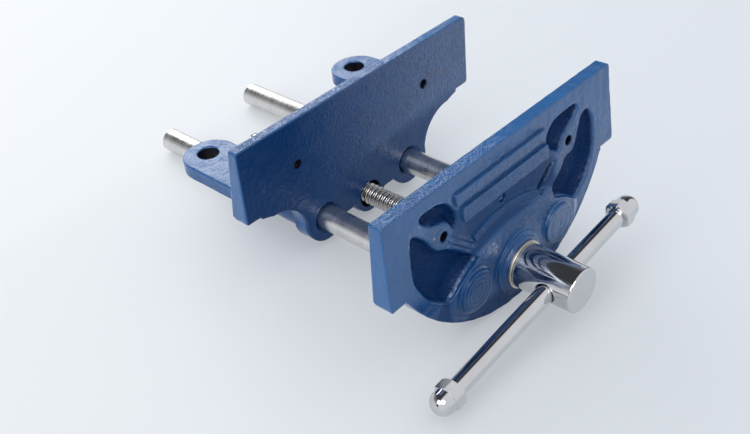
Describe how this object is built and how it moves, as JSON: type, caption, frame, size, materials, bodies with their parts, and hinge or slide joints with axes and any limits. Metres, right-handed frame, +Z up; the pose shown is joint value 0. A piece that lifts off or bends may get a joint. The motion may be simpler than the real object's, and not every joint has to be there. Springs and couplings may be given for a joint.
{
  "type": "woodworking vise",
  "caption": "Woodworking bench vise: blue cast jaws on guide bars, brought together by a lead screw with a sliding handle; bolts under a bench through eared flanges.",
  "frame": {"origin": "midway between the two bench bolt holes, on the top face of the ears", "axes": "+X along the jaws, +Y away from the handle along the guide bars, +Z up out of the bench seat"},
  "size_m": [0.1843, 0.2765, 0.0945],
  "materials": {
    "blue_paint": "gloss hammered enamel on cast iron",
    "bright_steel": "ground bright bar",
    "screw_steel": "cut thread, lightly oiled",
    "pin_steel": "plain",
    "chrome": "bright plated",
    "brass": "turned"
  },
  "bodies": {
    "rear": {"rear_jaw": "blue_paint", "screw_nut": "screw_steel", "nut_set_screw": "pin_steel"},
    "front": {"front_jaw": "blue_paint", "guide_bar_left": "bright_steel", "guide_bar_right": "bright_steel", "thrust_washer": "brass"},
    "screw": {"lead_screw": "screw_steel", "screw_head": "chrome", "head_pin": "pin_steel", "retaining_collar": "bright_steel", "collar_pin": "pin_steel"},
    "handle": {"handle_bar": "chrome", "cap_nut_left": "chrome", "cap_nut_right": "chrome"}
  },
  "joints": [
    {"name": "jaw_slide", "type": "slide", "parent": "rear", "child": "front", "axis": [0, 1, 0], "range_m": [-0.0705, 0.0848]},
    {"name": "screw_turn", "type": "hinge", "parent": "front", "child": "screw", "pos_m": [0, -0.185, -0.035], "axis": [0, 1, 0], "range_deg": [-8400, 10140]},
    {"name": "handle_slide", "type": "slide", "parent": "screw", "child": "handle", "axis": [0.9909, 0, 0.1349], "range_m": [-0.0396, 0.0686]}
  ],
  "couplings": [
    {"joint": "jaw_slide", "follows": "screw_turn", "m_per_rad": 0.00047746}
  ]
}
